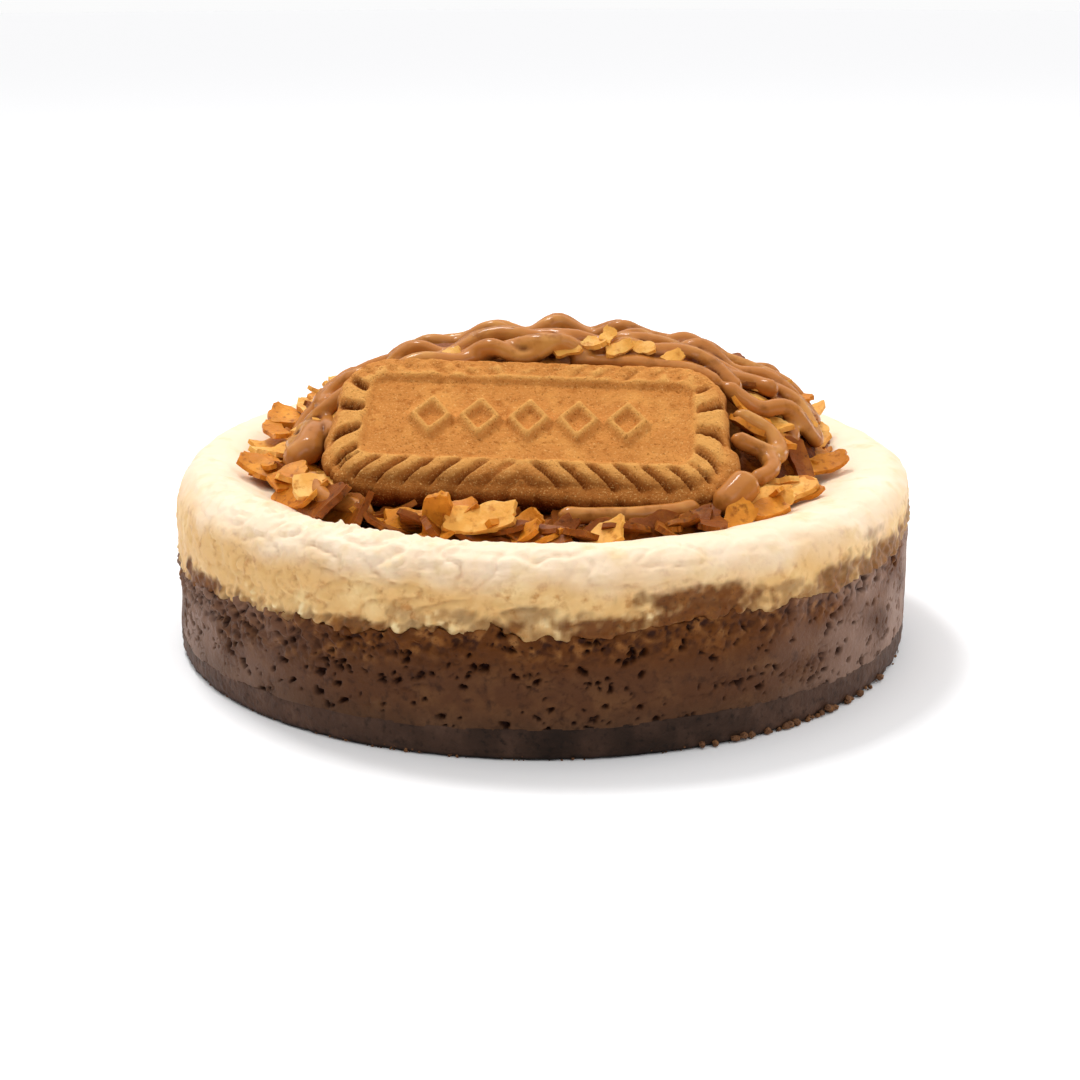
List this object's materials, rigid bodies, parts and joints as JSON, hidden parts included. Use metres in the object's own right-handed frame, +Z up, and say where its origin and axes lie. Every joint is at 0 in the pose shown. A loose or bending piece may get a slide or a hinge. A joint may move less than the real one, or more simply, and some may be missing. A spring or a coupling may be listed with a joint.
{
  "type": "cheesecake",
  "caption": "Small round baked cheesecake in layers, with a heap of flakes under piped caramel spread in its sunken top and a fluted biscuit leaning on the heap.",
  "frame": {"origin": "centre of the flat base, on the surface that the cake stands on", "axes": "+Z up; -Y towards the front, where the biscuit's face looks; +X to the right seen from the front"},
  "size_m": [0.1132, 0.1132, 0.0471],
  "materials": {
    "crust": "dark, coarse baked crumb",
    "caramel_layer": "moist, pitted brown cake",
    "cream_layer": "smooth, slightly moist baked cream",
    "spread": "glossy caramel spread over toasted flakes",
    "biscuit": "matte, fine-grained biscuit"
  },
  "bodies": {
    "root": {"crust": "crust", "caramel_layer": "caramel_layer", "cream_layer": "cream_layer", "topping_heap": "spread", "biscuit": "biscuit"}
  },
  "joints": []
}
